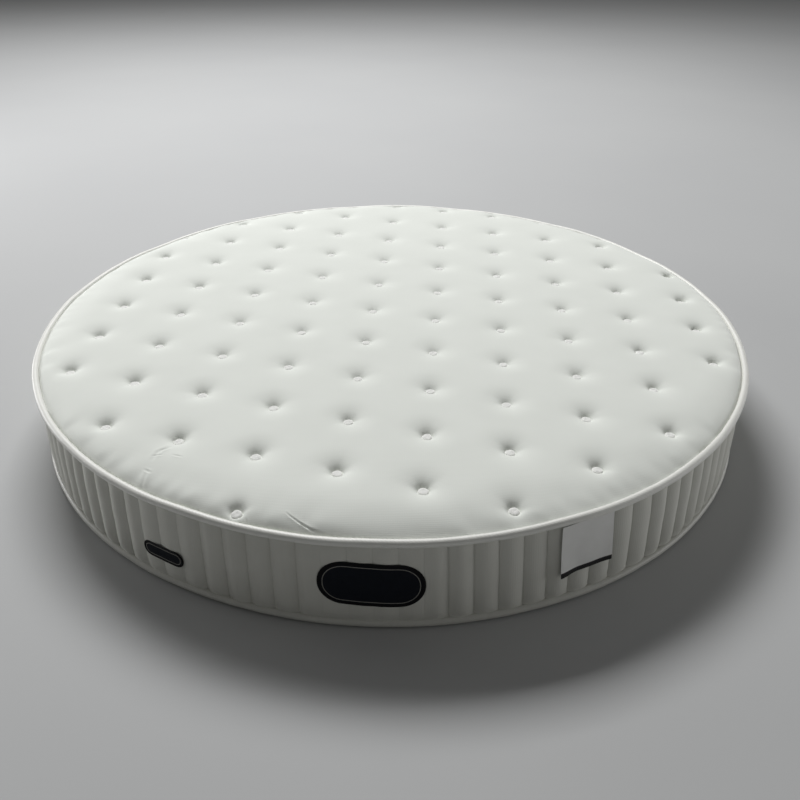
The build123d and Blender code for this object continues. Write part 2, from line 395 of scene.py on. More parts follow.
def tuft_felt():
    # Needle-punched wool felt: matte, fibrous, a little whiter than the cover
    material, tree, shader = started("needled_felt")
    place = add(tree, "TexCoord", {}, {})["Object"]
    fibre = add(
        tree, "TexNoise", {},
        {"Vector": place, "Scale": grain_scale(0.00143), "Detail": 4.0, "Roughness": 0.7},
    )[0]
    clump = add(tree, "TexNoise", {}, {"Vector": place, "Scale": grain_scale(0.00417), "Detail": 2.0})[0]
    tone = plus(tree, times(tree, fibre, 0.5), times(tree, clump, 0.5))
    tree.links.new(shade_between(tree, tone, "ebebe7", "fcfcfa"), shader.inputs["Base Color"])
    bumped(tree, shader, tone, 0.0009)
    set_shader(shader, Roughness=0.95, IOR=1.5, Sheen_Weight=0.25, Sheen_Roughness=0.6)
    return material


def fibrous(name, dark, light, pitch, depth, roughness):
    # Felts, foams and spunbonded cloths inside and underneath: two tones in a clumped grain
    material, tree, shader = started(name)
    place = add(tree, "TexCoord", {}, {})["Object"]
    grain = add(
        tree, "TexNoise", {},
        {"Vector": place, "Scale": grain_scale(pitch), "Detail": 4.0, "Roughness": 0.65},
    )[0]
    cell = add(tree, "TexVoronoi", {}, {"Vector": place, "Scale": grain_scale(pitch)})[0]
    tree.links.new(shade_between(tree, grain, dark, light), shader.inputs["Base Color"])
    bumped(tree, shader, plus(tree, grain, times(tree, cell, 0.5)), depth)
    set_shader(shader, Roughness=roughness, IOR=1.5)
    return material


def woven_label():
    # Damask-woven polyester label: near-black navy, fine ribs across, dull satin gloss
    material, tree, shader = started("damask_woven_label")
    along = add(tree, "UVMap", {"uv_map": "cloth"}, {})[0]
    weft = add(
        tree, "TexWave", {"bands_direction": "Y"},
        {"Vector": along, "Scale": pitch_scale(0.0016), "Distortion": 0.4, "Detail": 1.0},
    )["Fac"]
    warp = add(
        tree, "TexWave", {"bands_direction": "X"},
        {"Vector": along, "Scale": pitch_scale(0.0024), "Distortion": 0.4, "Detail": 1.0},
    )["Fac"]
    cloud = add(tree, "TexNoise", {}, {"Vector": along, "Scale": grain_scale(0.0167), "Detail": 3.0})[0]
    weave = times(tree, weft, warp)
    tone = plus(tree, times(tree, weave, 0.6), times(tree, cloud, 0.4))
    tree.links.new(shade_between(tree, tone, "0c0f15", "1a202b"), shader.inputs["Base Color"])
    bumped(tree, shader, weave, 0.0003)
    set_shader(shader, Roughness=0.7, IOR=1.5, Specular_IOR_Level=0.15)
    return material


def edging_thread():
    # Rayon thread overlocked round a label's edge: black, in close ridges square to the edge, glossy
    material, tree, shader = started("overlock_rayon_edge")
    along = add(tree, "UVMap", {"uv_map": "edge"}, {})[0]
    turns = add(
        tree, "TexWave", {"bands_direction": "X"},
        {"Vector": along, "Scale": pitch_scale(0.0020), "Distortion": 0.6, "Detail": 1.0},
    )["Fac"]
    tree.links.new(shade_between(tree, turns, "050506", "131317"), shader.inputs["Base Color"])
    bumped(tree, shader, turns, 0.0006)
    set_shader(shader, Roughness=0.6, IOR=1.5, Specular_IOR_Level=0.15)
    return material


def outline_thread():
    # Lurex outline woven into the label: dull grey-gold, broken by the weave
    material, tree, shader = started("lurex_outline")
    along = add(tree, "UVMap", {"uv_map": "edge"}, {})[0]
    floats = add(
        tree, "TexWave", {"bands_direction": "X"},
        {"Vector": along, "Scale": pitch_scale(0.0030), "Distortion": 1.0, "Detail": 1.0},
    )["Fac"]
    tree.links.new(shade_between(tree, floats, "6e6d69", "99978f"), shader.inputs["Base Color"])
    bumped(tree, shader, floats, 0.0003)
    set_shader(shader, Roughness=0.5, IOR=1.5)
    return material


def satin_label():
    # Polyester satin ribbon: white, smooth, softly glossy, with a black printed band along its free edge
    material, tree, shader = started("satin_ribbon_label")
    along = add(tree, "UVMap", {"uv_map": "cloth"}, {})[0]
    height = add(tree, "SeparateXYZ", {}, {0: along})["Y"]
    printed = add(tree, "Math", {"operation": "LESS_THAN"}, {0: height, 1: flap_band})[0]
    floats = add(
        tree, "TexWave", {"bands_direction": "Y"},
        {"Vector": along, "Scale": pitch_scale(0.0012), "Distortion": 0.6, "Detail": 1.0},
    )["Fac"]
    cloud = add(tree, "TexNoise", {}, {"Vector": along, "Scale": grain_scale(0.0333), "Detail": 2.0})[0]
    white = shade_between(tree, cloud, "e6e6e3", "f0f0ee")
    ink = add(tree, "Mix", {"data_type": "RGBA"}, {0: printed, 6: white, 7: linear("0a0a0b")})[2]
    tree.links.new(ink, shader.inputs["Base Color"])
    bumped(tree, shader, floats, 0.0001)
    set_shader(shader, Roughness=0.5, IOR=1.5, Specular_IOR_Level=0.3, Sheen_Weight=0.05)
    return material


def thread_cord():
    # Twisted nylon tufting cord: white, slightly glossy, slanting strands
    material, tree, shader = started("twisted_nylon_cord")
    place = add(tree, "TexCoord", {}, {})["Object"]
    strand = add(
        tree, "TexWave", {"bands_direction": "DIAGONAL"}, {"Vector": place, "Scale": pitch_scale(0.0016)}
    )["Fac"]
    tree.links.new(shade_between(tree, strand, "cfcfc8", "efefe9"), shader.inputs["Base Color"])
    bumped(tree, shader, strand, 0.0003)
    set_shader(shader, Roughness=0.5, IOR=1.53)
    return material


def moulded_plastic():
    # Injection-moulded polypropylene: milky white, fine sparked grain, semi-gloss
    material, tree, shader = started("moulded_polypropylene")
    place = add(tree, "TexCoord", {}, {})["Object"]
    spark = add(tree, "TexNoise", {}, {"Vector": place, "Scale": grain_scale(0.00111), "Detail": 3.0})[0]
    tree.links.new(shade_between(tree, spark, "dededa", "e8e8e4"), shader.inputs["Base Color"])
    bumped(tree, shader, spark, 0.0001)
    set_shader(shader, Roughness=0.38, IOR=1.49)
    return material


def studio_floor():
    # Plain pale seamless vinyl floor, matte, with a faint cloudiness
    material, tree, shader = started("seamless_floor")
    place = add(tree, "TexCoord", {}, {})["Object"]
    cloud = add(tree, "TexNoise", {}, {"Vector": place, "Scale": grain_scale(1.43), "Detail": 3.0})[0]
    tree.links.new(shade_between(tree, cloud, "b4b5b6", "bcbdbd"), shader.inputs["Base Color"])
    set_shader(shader, Roughness=0.7, IOR=1.45)
    return material


# Top cover

def distance_to_line(point, line):
    """Distance from a point to a bent line, and the share of the way along it."""
    best, best_share = inf, 0.0
    steps = len(line) - 1
    for k in range(steps):
        ax, ay = line[k]
        bx, by = line[k + 1]
        dx, dy = bx - ax, by - ay
        along = min(max(((point[0] - ax) * dx + (point[1] - ay) * dy) / (dx * dx + dy * dy), 0), 1)
        away = hypot(point[0] - ax - along * dx, point[1] - ay - along * dy)
        if away < best:
            best, best_share = away, (k + along) / steps
    return best, best_share


def honeycomb(reach, pitch):
    """Points of a honeycomb lattice that covers a disc."""
    row_pitch = pitch * sin(pi / 3)
    rows = ceil(reach / row_pitch)
    points = []
    for row in range(-rows, rows + 1):
        y = row * row_pitch
        shift = row % 2 * pitch / 2
        for k in range(-ceil(reach / pitch), ceil(reach / pitch) + 1):
            x = k * pitch + shift
            if hypot(x, y) < reach:
                points.append((x, y))
    return points


def circle(middle_x, middle_y, radius, sides, start=0.0):
    """Points of a circle, the first at the start angle."""
    turns = [start + 2 * pi * k / sides for k in range(sides)]
    return [(middle_x + radius * cos(turn), middle_y + radius * sin(turn)) for turn in turns]


def nested_circles(middle_x, middle_y, radii, sides):
    """Points of circles round one middle, every second one turned by half a step."""
    points = []
    for k, radius in enumerate(radii):
        points += circle(middle_x, middle_y, radius, sides, start=k % 2 * pi / sides)
    return points


def band(low, high, count):
    """Faces between two closed rings of points that start at those numbers."""
    return [(low + k, low + (k + 1) % count, high + (k + 1) % count, high + k) for k in range(count)]


def triangulated(points):
    """Delaunay triangles over points, all facing up."""
    flat = [Vector(point) for point in points]
    found = delaunay_2d_cdt(flat, [], [], 0, 1e-6)
    places = found[0]
    faces = []
    for face in found[2]:
        a, b, c = (places[i] for i in face[:3])
        turned = (b.x - a.x) * (c.y - a.y) - (b.y - a.y) * (c.x - a.x)
        faces.append(tuple(face) if turned > 0 else tuple(reversed(face)))
    return places, faces


def new_piece(name, points, faces):
    """Mesh object with its place in its mesh."""
    mesh = bpy.data.meshes.new(name)
    mesh.from_pydata(points, [], faces)
    mesh.update()
    piece = bpy.data.objects.new(name, mesh)
    scene.collection.objects.link(piece)
    return piece


def pick(piece):
    """Makes one object the selected and active one."""
    bpy.ops.object.select_all(action="DESELECT")
    piece.select_set(True)
    bpy.context.view_layer.objects.active = piece


def finish_piece(piece, body, materials, replaced, angle=50):
    """Material, smoothing and the frame's notes for a piece."""
    for material in materials:
        piece.data.materials.append(material)
    pick(piece)
    bpy.ops.object.shade_smooth_by_angle(angle=radians(angle))
    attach(piece, body)
    if replaced:
        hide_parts(*replaced)


def stuffed_top():
    """Coarse cover, held at tufts and rim and lifted by its filling, as a tree to read heights from."""
    points = []
    for tuft in tufts:
        points.append((tuft.x, tuft.y))
        points += circle(tuft.x, tuft.y, felt_diameter / 2, 6)
    points = [p for p in points if hypot(*p) < rim_radius - least_gap]
    for p in honeycomb(rim_radius - 0.6 * coarse_pitch, coarse_pitch):
        if tuft_tree.find((p[0], p[1], 0))[2] > 0.9 * coarse_pitch:
            points.append(p)
    points += circle(0, 0, rim_radius, coarse_rim_sides)
    places, faces = triangulated(points)
    cut = []
    for place in places:
        room = swell_room * smooth((rim_radius - place.length) / swell_start)
        cut.append((place.x, place.y, crown_height(place.length) - room))
    cloth = new_piece("cover_cloth", cut, faces)
    held = cloth.vertex_groups.new(name="held")
    for i, place in enumerate(places):
        near = tuft_tree.find((place.x, place.y, 0))[2]
        if near < felt_diameter / 2 + least_gap or place.length > rim_radius - least_gap:
            held.add([i], 1.0, "REPLACE")
    before = [vertex.co.copy() for vertex in cloth.data.vertices]
    pick(cloth)
    stuffing = cloth.modifiers.new("Stuffing", "CLOTH")
    stuffing.settings.vertex_group_mass = "held"
    stuffing.settings.use_pressure = True
    stuffing.settings.uniform_pressure_force = stuffing_pressure
    stuffing.settings.effector_weights.gravity = 0.0
    stuffing.point_cache.frame_start = 1
    stuffing.point_cache.frame_end = stuffing_steps
    for step in range(1, stuffing_steps + 1):
        scene.frame_set(step)
    bpy.ops.object.modifier_apply(modifier="Stuffing")
    scene.frame_set(1)
    most = swell_room * swell_cap_share
    for vertex, start in zip(cloth.data.vertices, before):
        move = vertex.co - start
        if move.length > most:
            vertex.co = start + move * (most / move.length)
    softened = cloth.modifiers.new("Softened", "SUBSURF")
    softened.levels = 2
    softened.render_levels = 2
    bpy.ops.object.modifier_apply(modifier="Softened")
    corners = [vertex.co.copy() for vertex in cloth.data.vertices]
    sides = [tuple(face.vertices) for face in cloth.data.polygons]
    tree = BVHTree.FromPolygons(corners, sides)
    bpy.data.objects.remove(cloth)
    return tree


def cover_points():
    """Points of the cover seen from above: rings round each tuft and along the rim, a lattice between."""
    points = nested_circles(0, 0, [rim_radius - inset for inset in rim_ring_insets], rim_ring_sides)
    for tuft in tufts:
        points.append((tuft.x, tuft.y))
        points += nested_circles(tuft.x, tuft.y, dimple_ring_radii, dimple_ring_sides)
    for line, width, _ in creases:
        xs, ys = zip(*line)
        margin = 4 * width
        x = min(xs) - margin
        while x < max(xs) + margin:
            y = min(ys) - margin
            while y < max(ys) + margin:
                if distance_to_line((x, y), line)[0] < margin:
                    points.append((x, y))
                y += crease_pitch
            x += crease_pitch
    reach = dimple_ring_radii[-1] + 0.4 * cover_pitch
    for p in honeycomb(rim_radius - rim_ring_insets[-1] - 0.5 * cover_pitch, cover_pitch):
        if tuft_tree.find((p[0], p[1], 0))[2] > reach:
            points.append(p)
    kept = []
    cells = {}
    for p in points:
        if hypot(*p) > rim_radius + hair:
            continue
        cell = (int(p[0] // least_gap), int(p[1] // least_gap))
        nearby = [
            q for i in (-1, 0, 1) for j in (-1, 0, 1)
            for q in cells.get((cell[0] + i, cell[1] + j), ())
        ]
        if all(hypot(p[0] - q[0], p[1] - q[1]) >= least_gap for q in nearby):
            cells.setdefault(cell, []).append(p)
            kept.append(p)
    return kept


def cover_height(x, y, wide):
    """Height of the finished cover: the swollen surface, drawn down at each tuft, creased and puckered."""
    radius = hypot(x, y)
    turn = atan2(y, x)
    inset = rim_radius - radius
    place, number, away = tuft_tree.find((x, y, 0))
    spot = Vector((x * uneven_per_metre, y * uneven_per_metre, 1.7))
    z = wide + uneven_height * noise.noise(spot) * smooth(inset / uneven_start)
    pucker = noise.noise(Vector((turn * 34, 4.2, 0))) + 0.5 * noise.noise(Vector((turn * 90, 1.1, 0)))
    z += pucker_height * pucker * smooth(inset / pucker_start) * (1 - smooth(inset / pucker_fade))
    z += edge_wave(turn) * (1 - smooth(inset / edge_wave_fade))
    fuller = np.interp(degrees(turn), roll_turns, roll_shares) - 1
    z += fuller * roll_rise * (1 - exp(-inset / roll_run)) * exp(-inset / roll_fade)
    seat = tufts[number].z + seat_lift(tufts[number].y)
    bearing = atan2(y - place.y, x - place.x)
    pleats = 0.6 * sin(5 * bearing + 2.4 * number) + 0.4 * sin(8 * bearing + 1.3 * number)
    out = max(away - seat_radius, 0) / (1 + pleat_share * pleats)
    share = 1 - steep_share * exp(-out / steep_fall) - (1 - steep_share) * exp(-out / shallow_fall)
    z = seat + (z - seat) * share
    for line, width, depth in creases:
        off, along = distance_to_line((x, y), line)
        if off < 4 * width:
            fade = sqrt(max(sin(pi * min(max(along, 0.02), 0.98)), 0))
            brow = 0.45 * exp(-((off - 2 * width) / width) ** 2)
            z += depth * fade * (brow - exp(-(off / width) ** 2))
    return z


def top_cover():
    """Knit cover with its quilted filling, closed underneath."""
    stuffed = stuffed_top()
    places, faces = triangulated(cover_points())
    points = []
    for place in places:
        x, y = place
        radius = hypot(x, y)
        if stuffed is None:
            away = tuft_tree.find((x, y, 0))[2]
            wide = crown_height(radius) - swell_room * exp(-(away / tuft_hold) ** 2)
        else:
            hit = stuffed.ray_cast(Vector((x, y, 1)), Vector((0, 0, -1)))[0]
            wide = hit.z if hit else crown_height(radius)
        points.append((x, y, cover_height(x, y, wide)))
    piece = new_piece("top_cover", points, faces)
    shell = bmesh.new()
    shell.from_mesh(piece.data)
    rim = [edge for edge in shell.edges if edge.is_boundary]
    wall = bmesh.ops.extrude_edge_only(shell, edges=rim)["geom"]
    for vertex in wall:
        if isinstance(vertex, bmesh.types.BMVert):
            vertex.co.z = panel_low.z
    lower = [edge for edge in wall if isinstance(edge, bmesh.types.BMEdge) and edge.is_boundary]
    under = bmesh.ops.edgeloop_fill(shell, edges=lower)["faces"]
    bmesh.ops.poke(shell, faces=under)
    bmesh.ops.recalc_face_normals(shell, faces=shell.faces)
    shell.to_mesh(piece.data)
    shell.free()
    finish_piece(piece, "mattress", (knit_cover(),), ("top_panel",))


# Tuft buttons

def tuft_buttons():
    """Felt buttons, modelled once with a rolled edge and a drawn-in middle, then copied to each dimple."""
    bpy.ops.object.select_all(action="DESELECT")
    bpy.ops.mesh.primitive_cylinder_add(vertices=24, radius=felt_diameter / 2, depth=felt_thickness)
    button = bpy.context.object
    bpy.ops.object.mode_set(mode="EDIT")
    bpy.ops.mesh.select_all(action="DESELECT")
    bpy.ops.mesh.select_mode(type="FACE")
    shape = bmesh.from_edit_mesh(button.data)
    top = max(shape.faces, key=lambda face: face.calc_center_median().z)
    top.select = True
    bmesh.update_edit_mesh(button.data)
    for step, rise in felt_insets:
        bpy.ops.mesh.inset(thickness=step)
        bpy.ops.transform.translate(value=(0, 0, rise))
    bpy.ops.mesh.poke()
    bpy.ops.mesh.select_mode(type="EDGE")
    bpy.ops.mesh.select_all(action="DESELECT")
    shape = bmesh.from_edit_mesh(button.data)
    for edge in shape.edges:
        a, b = edge.verts
        on_wall = all(abs(end.co.xy.length - felt_diameter / 2) < hair for end in (a, b))
        edge.select = on_wall and abs(a.co.z - b.co.z) < hair
    bmesh.update_edit_mesh(button.data)
    bpy.ops.mesh.bevel(offset=felt_bevel, segments=3)
    bpy.ops.object.mode_set(mode="OBJECT")
    copies = []
    for number, tuft in enumerate(tufts):
        copy = button.copy()
        copy.data = button.data.copy()
        scene.collection.objects.link(copy)
        lean = Matrix.Rotation(radians(felt_lean) * noise.noise(Vector((number, 0.3, 0))), 4, "X")
        roll = Matrix.Rotation(radians(felt_lean) * noise.noise(Vector((number, 7.7, 0))), 4, "Y")
        spin = Matrix.Rotation(number * 1.7, 4, "Z")
        outward = Vector((tuft.x, tuft.y, 0)).normalized()
        slope = (crown_height(tuft.xy.length - 0.02) - crown_height(tuft.xy.length)) / 0.02
        tilt = Matrix.Rotation(atan2(slope, 1) * felt_tilt_share, 4, Vector((-outward.y, outward.x, 0)))
        height = tuft.z + felt_rise + max(seat_lift(tuft.y) - felt_cover, 0)
        copy.data.transform(Matrix.Translation((tuft.x, tuft.y, height)) @ tilt @ lean @ roll @ spin)
        for vertex in copy.data.vertices:
            vertex.co += Vector((0, 0, felt_unevenness)) * noise.noise(vertex.co * 150)
        copies.append(copy)
    bpy.data.objects.remove(button)
    pick(copies[0])
    for copy in copies:
        copy.select_set(True)
    bpy.ops.object.join()
    buttons = bpy.context.object
    buttons.name = "tuft_buttons"
    finish_piece(buttons, "mattress", (tuft_felt(),), ("tuft_felts",), angle=75)


# Pipings

def piping(name, z, wave_share, node, cloth):
    """Welted cord sewn round the edge: a ring whose line wanders a little, as sewn tape does."""
    bpy.ops.object.select_all(action="DESELECT")
    bpy.ops.mesh.primitive_torus_add(
        location=(0, 0, z), major_radius=piping_ring_radius, minor_radius=piping_radius,
        major_segments=piping_sides, minor_segments=piping_section_sides,
    )
    welt = bpy.context.object
    welt.name = name
    bpy.ops.object.transform_apply(location=True)
    layer = welt.data.uv_layers[0]
    layer.name = "cloth"
    for loop in layer.data:
        loop.uv = (loop.uv[0] * 2 * pi * piping_ring_radius, loop.uv[1] * 2 * pi * piping_radius)
    for vertex in welt.data.vertices:
        turn = atan2(vertex.co.y, vertex.co.x)
        outward = Vector((cos(turn), sin(turn), 0))
        ring = outward * piping_ring_radius + Vector((0, 0, z))
        swell = 1
        for swell_share, scale in piping_swell_shares:
            swell += swell_share * noise.noise(outward * scale)
        swell *= 1 - piping_pinch_share * (noise.noise(vertex.co * 60) > 0.3)
        wander = piping_wander * noise.noise(outward * 6 + Vector((0, 0, z * 10)))
        vertex.co = ring + (vertex.co - ring) * swell + outward * wander
        vertex.co.z += wave_share * edge_wave(turn)
    finish_piece(welt, "mattress", (cloth,), (node,))


# Border

def seam_turn(number, z):
    """Turn of a seam at a height: nearly even, and leaning a little."""
    up = (z - border_low.z) / (border_high.z - border_low.z)
    around = (number + channel_count / 2) % channel_count - channel_count / 2
    shift = np.interp(around, seam_numbers, seam_shifts)
    shift += np.interp(around, seam_numbers, seam_leans) * (0.5 - up)
    return radians(channel_phase + (number + shift) / channel_count * 360)


def channel_at(turn, z):
    """Number of the channel at a turn and height, and how far across it."""
    guess = floor((degrees(turn) - channel_phase) / 360 * channel_count)
    for number in (guess - 1, guess, guess + 1):
        left, right = seam_turn(number, z), seam_turn(number + 1, z)
        if left <= turn < right:
            break
    return number % channel_count, min(max((turn - left) / (right - left), 0), 1)


def label_press(turn):
    """How far the seams above and below the labels are pulled flat by them, from 0 to 1."""
    press = 0
    for sizes in (main_label, small_label):
        apart = (turn - radians(sizes["turn"]) + pi) % (2 * pi) - pi
        off = abs(apart) * seam_radius - sizes["width"] / 2
        press = max(press, sizes["press"] * (1 - smooth((off + press_inside) / press_fade)))
    return press


def border_radius(turn, z, number, across, slack=1.0):
    """Distance of the border's face from the axis. With less slack a label bridges the grooves."""
    up = (z - border_low.z) / (border_high.z - border_low.z)
    end = 1 - smooth(min(z - border_low.z, border_high.z - z) / border_end)
    own = noise.noise(Vector((number * 3.1, 0.5, 0)))
    relief = (channel_relief + groove_depth) * (1 + ridge_change_share * own * sin(pi * across))
    relief *= 1 - end_ridge_share * end
    groove = (1 - sin(pi * across) ** groove_power) * slack * (1 - label_press(turn))
    drag = border_drag * noise.noise(Vector((cos(turn) * 14, sin(turn) * 14, z * 16)))
    pucker = border_pucker * end * noise.noise(Vector((cos(turn) * 60, sin(turn) * 60, z * 12)))
    bulge = (2 * up - 1) ** 2 * (border_foot if up < 0.5 else -border_draw)
    belly = border_belly * smooth(up / belly_full_share)
    bulge += belly * (1 - smooth((up - belly_fade_share) / belly_way_share))
    sunk = groove_depth * (1 - end_groove_share * end)
    return seam_radius + bulge + relief * (1 - groove) - sunk + drag + pucker


def border_band():
    """Side band of quilted cloth sewn into upright channels, drawn in under both pipings."""
    columns = channel_count * channel_columns
    shares = [(1 - cos(pi * k / channel_columns)) / 2 for k in range(channel_columns)]
    points = []
    for row in range(border_rows + 1):
        up = (1 - cos(pi * row / border_rows)) / 2 * 0.35 + row / border_rows * 0.65
        z = border_low.z + up * (border_high.z - border_low.z)
        for channel in range(channel_count):
            left, right = seam_turn(channel, z), seam_turn(channel + 1, z)
            if right < left:
                right += 2 * pi
            for share in shares:
                turn = left + (right - left) * share
                radius = border_radius(turn, z, channel, share)
                lift = edge_wave(turn) * smooth((up - 0.6) / 0.4)
                points.append((radius * cos(turn), radius * sin(turn), z + lift))
    turns = [atan2(y, x) for x, y, _ in points[:columns]]
    for z in (border_high.z, border_low.z):
        for turn in turns:
            points.append((border_inner_radius * cos(turn), border_inner_radius * sin(turn), z))
    faces = []
    levels = border_rows + 3
    for row in range(levels):
        faces += band(row * columns, (row + 1) % levels * columns, columns)
    piece = new_piece("border_band", points, faces)
    layer = piece.data.uv_layers.new(name="cloth")
    for polygon in piece.data.polygons:
        last = polygon.index % columns == columns - 1
        for corner, loop in zip(polygon.vertices, polygon.loop_indices):
            column = corner % columns
            around = columns if last and column == 0 else column
            layer.data[loop].uv = (around / columns * 2 * pi * seam_radius, points[corner][2])
    finish_piece(piece, "mattress", (border_knit(),), ("border",), angle=80)


# Labels

def rounded_outline(width, height, corner, inset):
    """Outline with round corners, moved inwards. Sides are split so that it can follow the border."""
    side_steps, end_steps, arc_steps = 20, 4, 10
    corner = max(corner - inset, 0.0005)
    half_width, half_height = width / 2 - inset, height / 2 - inset
    points = []
    for sx, sy, start in ((1, 1, 0), (-1, 1, 90), (-1, -1, 180), (1, -1, 270)):
        middle = (sx * (half_width - corner), sy * (half_height - corner))
        for k in range(arc_steps + 1):
            sweep = radians(start + 90 * k / arc_steps)
            points.append((middle[0] + corner * cos(sweep), middle[1] + corner * sin(sweep)))
        steps = side_steps if start in (0, 180) else end_steps
        ahead = (-sx if start in (0, 180) else sx, sy if start in (0, 180) else -sy)
        goal = (ahead[0] * (half_width - corner), ahead[1] * (half_height - corner))
        goal = (goal[0] + corner * cos(radians(start + 90)), goal[1] + corner * sin(radians(start + 90)))
        last = points[-1]
        for k in range(1, steps):
            points.append(tuple(a + (b - a) * k / steps for a, b in zip(last, goal)))
    return points


def on_border(sizes, x, y, out):
    """Point on the border's face, from a label's middle and along its own leaning sides."""
    lean = radians(sizes["lean"])
    z = top_piping_z - sizes["drop"] + y * cos(lean) + x * sin(lean)
    angle = radians(sizes["turn"]) + (x * cos(lean) - y * sin(lean)) / (seam_radius + channel_relief)
    radius = border_radius(angle, z, *channel_at(angle, z), slack=sizes["follow"]) + out
    return (radius * cos(angle), radius * sin(angle), z)


def sewn_label(name, sizes, node):
    """Woven label: overlocked raised edge, thin woven outline, bare field. It dips into the channels."""
    width, height, corner = sizes["width"], sizes["height"], sizes["corner"]
    edging, line_inset = sizes["edging"], sizes["line_inset"]
    weave, overlock, line = 0, 1, 2
    # Each ring has its inset, how far it stands out, and the material from it to the next ring
    rings = [(0.15 * edging, label_foot_outs[0], overlock), (0, label_foot_outs[1], overlock)]
    for k in range(1, edging_rings):
        share = k / edging_rings
        rings.append((share * edging, edging_out + edging_rise * sin(pi * share), overlock))
    rings += [
        (edging, label_out, weave), (line_inset, label_out, line),
        (line_inset + 0.3 * line_width, line_out, line), (line_inset + 0.7 * line_width, line_out, line),
        (line_inset + line_width, label_out, weave),
    ]
    deepest = min(corner, height / 2) - label_last_gap
    inset = line_inset + line_width + label_ring_pitch
    while inset < deepest:
        rings.append((inset, label_out, weave))
        inset += label_ring_pitch
    rings.append((deepest, label_out, weave))
    outlines = [rounded_outline(width, height, corner, inset) for inset, _, _ in rings]
    count = len(outlines[0])
    flat = [point for outline in outlines for point in outline]
    points = []
    for outline, (_, out, _) in zip(outlines, rings):
        points += [on_border(sizes, x, y, out) for x, y in outline]
    faces, kinds = [], []
    for level in range(len(rings) - 1):
        faces += band(level * count, (level + 1) * count, count)
        kinds += [rings[level][2]] * count
    middle = (len(rings) - 1) * count
    pairs = mirrored(outlines[-1])
    for (a, b), (c, d) in zip(pairs, pairs[1:]):
        faces.append(tuple(dict.fromkeys((middle + a, middle + b, middle + d, middle + c))))
        kinds.append(weave)
    back = mirrored(outlines[0])
    for (a, b), (c, d) in zip(back, back[1:]):
        faces.append(tuple(dict.fromkeys((a, c, d, b))))
        kinds.append(weave)
    piece = new_piece(name, points, faces)
    cloth = piece.data.uv_layers.new(name="cloth")
    edge = piece.data.uv_layers.new(name="edge")
    length = sum(hypot(b[0] - a[0], b[1] - a[1]) for a, b in zip(outlines[0], outlines[0][1:]))
    for polygon, kind in zip(piece.data.polygons, kinds):
        polygon.material_index = kind
        ks = [vertex % count for vertex in polygon.vertices]
        wraps = max(ks) - min(ks) > count / 2
        for vertex, loop in zip(polygon.vertices, polygon.loop_indices):
            cloth.data[loop].uv = flat[vertex]
            along = count if wraps and vertex % count == 0 else vertex % count
            edge.data[loop].uv = (along / count * length, rings[vertex // count][0])
    cloths = (woven_label(), edging_thread(), outline_thread())
    finish_piece(piece, "mattress", cloths, (node,))


def mirrored(outline):
    """Pairs of points above each other on an outline, from one end to the other."""
    upper = sorted((k for k, (_, y) in enumerate(outline) if y > hair), key=lambda k: outline[k])
    lower = [k for k, (_, y) in enumerate(outline) if y < -hair]
    pairs = []
    for k in upper:
        x, y = outline[k]
        pairs.append((k, min(lower, key=lambda j: abs(outline[j][0] - x) + abs(outline[j][1] + y))))
    return pairs


def care_flap():
    """Satin flap that hangs from the seam under the top piping, its left edge standing off."""
    columns = rows = flap_steps
    seam_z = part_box("care_label")[1].z
    turn = radians(flap_turn)
    outward = Vector((cos(turn), sin(turn), 0))
    rightward = Vector((-sin(turn), cos(turn), 0))
    distance = seam_radius + channel_relief + flap_clearance
    points = []
    for row in range(rows + 1):
        down = row / rows
        for column in range(columns + 1):
            across = (column / columns - 0.5) * flap_width
            left = smooth((-across / flap_width - 0.12) / 0.38)
            right = smooth((across / flap_width - 0.2) / 0.3)
            follow = -flap_flatness_share * across ** 2 / (2 * distance)
            always, further, corner = flap_left_stands
            stand = left * (always + further * down + corner * down ** 4) + right * flap_right_stand * down
            stand += flap_belly_share * border_belly * smooth(1.3 * down)
            ripple = flap_ripple * sin(3.1 * across / flap_width * pi + 1.1 + 0.9 * down)
            ripple *= smooth(down * 2.5)
            ripple += flap_crumple * down * noise.noise(Vector((across * 30, down * 4, 5.0)))
            taken_in = flap_skew + flap_gather * (across / flap_width + 0.5)
            draw = flap_corner_draw * left * down ** 2 - taken_in * (1 - down)
            point = outward * (distance + follow + stand + ripple) + rightward * (across + draw)
            points.append((point.x, point.y, seam_z - down * flap_height))
    faces = []
    for row in range(rows):
        for column in range(columns):
            a = row * (columns + 1) + column
            faces.append((a, a + columns + 1, a + columns + 2, a + 1))
    flap = new_piece("care_flap_satin", points, faces)
    layer = flap.data.uv_layers.new(name="cloth")
    for polygon in flap.data.polygons:
        for vertex, loop in zip(polygon.vertices, polygon.loop_indices):
            row, column = divmod(vertex, columns + 1)
            layer.data[loop].uv = (column / columns * flap_width, (1 - row / rows) * flap_height)
    pick(flap)
    wall = flap.modifiers.new("Thickness", "SOLIDIFY")
    wall.thickness = flap_thickness
    wall.offset = 1
    bpy.ops.object.modifier_apply(modifier="Thickness")
    finish_piece(flap, "care_flap", (satin_label(),), ("care_label",))


# Underside

